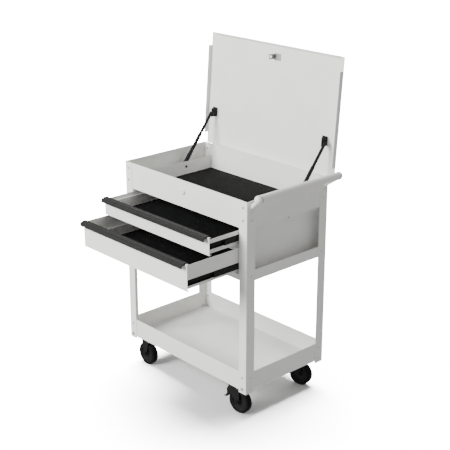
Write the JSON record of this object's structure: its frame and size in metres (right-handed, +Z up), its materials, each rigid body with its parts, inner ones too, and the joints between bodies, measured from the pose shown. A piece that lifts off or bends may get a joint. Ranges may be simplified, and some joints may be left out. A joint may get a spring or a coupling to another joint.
{
  "type": "rolling tool chest",
  "caption": "Rolling tool chest with a lift-up lid over a lined top compartment, drawers on ball-bearing slides, an open lower tray, a push handle and casters.",
  "frame": {"origin": "on the floor under the centre of the four posts", "axes": "+X towards the push handle, -Y out of the front where the drawers open, +Z up"},
  "size_m": [0.8695, 0.8299, 1.4874],
  "materials": {
    "white_coat": "satin",
    "drawer_coat": "satin",
    "liner_rubber": "matte",
    "pull_plastic": "matte",
    "black_steel": "satin",
    "zinc_steel": "satin",
    "handle_steel": "polished",
    "wheel_rubber": "matte",
    "pedal_plastic": "matte"
  },
  "bodies": {
    "root": {"bottom_tray": "white_coat", "case_back": "white_coat", "case_side_walls": "white_coat", "caster_bolts": "zinc_steel", "compartment_floor": "white_coat", "compartment_liner": "liner_rubber", "fixed_caster_axles": "zinc_steel", "fixed_caster_forks": "black_steel", "frame_screws": "zinc_steel", "front_rail": "white_coat", "handle_end_front": "black_steel", "handle_end_rear": "black_steel", "handle_tube": "handle_steel", "hinge_leaf_case": "zinc_steel", "hinge_pin": "zinc_steel", "lock_barrel": "zinc_steel", "lower_case_rails": "black_steel", "post_front_left": "white_coat", "post_front_right": "white_coat", "post_rear_left": "white_coat", "post_rear_right": "white_coat", "side_rails": "white_coat", "stay_foot_brackets": "black_steel", "swivel_caster_plates": "black_steel", "top_front_panel": "white_coat", "top_left_panel": "white_coat", "top_rear_panel": "white_coat", "top_right_panel": "white_coat", "upper_case_rails": "black_steel"},
    "lid": {"lid": "white_coat", "hinge_leaf_lid": "zinc_steel", "lid_keeper": "zinc_steel", "stay_lid_brackets": "black_steel"},
    "stay_rods": {"stay_rods": "black_steel"},
    "stay_tubes": {"stay_tubes": "black_steel"},
    "stay_sleeves": {"stay_sleeves": "black_steel"},
    "lock": {"lock_plug": "zinc_steel", "lock_cam": "zinc_steel"},
    "upper_drawer": {"upper_drawer_pan": "drawer_coat", "upper_drawer_front": "drawer_coat", "upper_drawer_pull": "pull_plastic", "upper_drawer_liner": "liner_rubber", "upper_drawer_rails": "black_steel"},
    "lower_drawer": {"lower_drawer_pan": "drawer_coat", "lower_drawer_front": "drawer_coat", "lower_drawer_pull": "pull_plastic", "lower_drawer_liner": "liner_rubber", "lower_drawer_rails": "black_steel"},
    "upper_slide": {"upper_middle_rails": "black_steel"},
    "lower_slide": {"lower_middle_rails": "black_steel"},
    "wheel_front_left": {"wheel_front_left": "wheel_rubber"},
    "wheel_rear_left": {"wheel_rear_left": "wheel_rubber"},
    "swivel_front_right": {"swivel_fork_front_right": "black_steel", "swivel_axle_front_right": "zinc_steel"},
    "wheel_front_right": {"wheel_front_right": "wheel_rubber"},
    "brake_front_right": {"brake_pedal_front_right": "pedal_plastic"},
    "swivel_rear_right": {"swivel_fork_rear_right": "black_steel", "swivel_axle_rear_right": "zinc_steel"},
    "wheel_rear_right": {"wheel_rear_right": "wheel_rubber"},
    "brake_rear_right": {"brake_pedal_rear_right": "pedal_plastic"}
  },
  "joints": [
    {"name": "lid_hinge", "type": "hinge", "parent": "root", "child": "lid", "pos_m": [0, 0.2385, 0.976], "axis": [1, 0, 0], "range_deg": [0, 94.3]},
    {"name": "stay_top_pivot", "type": "hinge", "parent": "lid", "child": "stay_rods", "pos_m": [0, 0.24538, 1.12089], "axis": [1, 0, 0], "range_deg": [-82.44, 0]},
    {"name": "stay_upper_slide", "type": "slide", "parent": "stay_rods", "child": "stay_tubes", "axis": [0, 0.6159, 0.7878], "range_m": [0, 0.10398]},
    {"name": "stay_lower_slide", "type": "slide", "parent": "stay_tubes", "child": "stay_sleeves", "axis": [0, 0.6159, 0.7878], "range_m": [0, 0.10398]},
    {"name": "lock_turn", "type": "hinge", "parent": "root", "child": "lock", "pos_m": [0, -0.2345, 0.93], "axis": [0, 1, 0], "range_deg": [0, 90]},
    {"name": "upper_drawer_slide", "type": "slide", "parent": "root", "child": "upper_drawer", "axis": [0, -1, 0], "range_m": [-0.1575, 0.2225]},
    {"name": "upper_slide_middle", "type": "slide", "parent": "root", "child": "upper_slide", "axis": [0, -1, 0], "range_m": [-0.07875, 0.11125]},
    {"name": "lower_drawer_slide", "type": "slide", "parent": "root", "child": "lower_drawer", "axis": [0, -1, 0], "range_m": [-0.2735, 0.1065]},
    {"name": "lower_slide_middle", "type": "slide", "parent": "root", "child": "lower_slide", "axis": [0, -1, 0], "range_m": [-0.13675, 0.05325]},
    {"name": "roll_front_left", "type": "hinge", "parent": "root", "child": "wheel_front_left", "pos_m": [-0.306, -0.2, 0.054], "axis": [0, 1, 0], "continuous": true},
    {"name": "roll_rear_left", "type": "hinge", "parent": "root", "child": "wheel_rear_left", "pos_m": [-0.306, 0.172, 0.054], "axis": [0, 1, 0], "continuous": true},
    {"name": "swivel_front_right", "type": "hinge", "parent": "root", "child": "swivel_front_right", "pos_m": [0.292, -0.2, 0.121], "axis": [0, 0, 1], "continuous": true},
    {"name": "roll_front_right", "type": "hinge", "parent": "swivel_front_right", "child": "wheel_front_right", "pos_m": [0.3179, -0.19773, 0.054], "axis": [-0.0872, 0.9962, 0], "continuous": true},
    {"name": "brake_front_right", "type": "hinge", "parent": "swivel_front_right", "child": "brake_front_right", "pos_m": [0.2651, -0.20235, 0.092], "axis": [-0.0872, 0.9962, 0], "range_deg": [-9, 0]},
    {"name": "swivel_rear_right", "type": "hinge", "parent": "root", "child": "swivel_rear_right", "pos_m": [0.292, 0.172, 0.121], "axis": [0, 0, 1], "continuous": true},
    {"name": "roll_rear_right", "type": "hinge", "parent": "swivel_rear_right", "child": "wheel_rear_right", "pos_m": [0.31743, 0.17741, 0.054], "axis": [-0.2079, 0.9781, 0], "continuous": true},
    {"name": "brake_rear_right", "type": "hinge", "parent": "swivel_rear_right", "child": "brake_rear_right", "pos_m": [0.26559, 0.16639, 0.092], "axis": [-0.2079, 0.9781, 0], "range_deg": [-9, 0]}
  ],
  "couplings": [
    {"joint": "stay_top_pivot", "follows": "lid_hinge", "ratio": -0.87415},
    {"joint": "stay_upper_slide", "follows": "lid_hinge", "m_per_rad": 0.063171},
    {"joint": "stay_lower_slide", "follows": "lid_hinge", "m_per_rad": 0.063171},
    {"joint": "upper_slide_middle", "follows": "upper_drawer_slide", "ratio": 0.5},
    {"joint": "lower_slide_middle", "follows": "lower_drawer_slide", "ratio": 0.5}
  ]
}
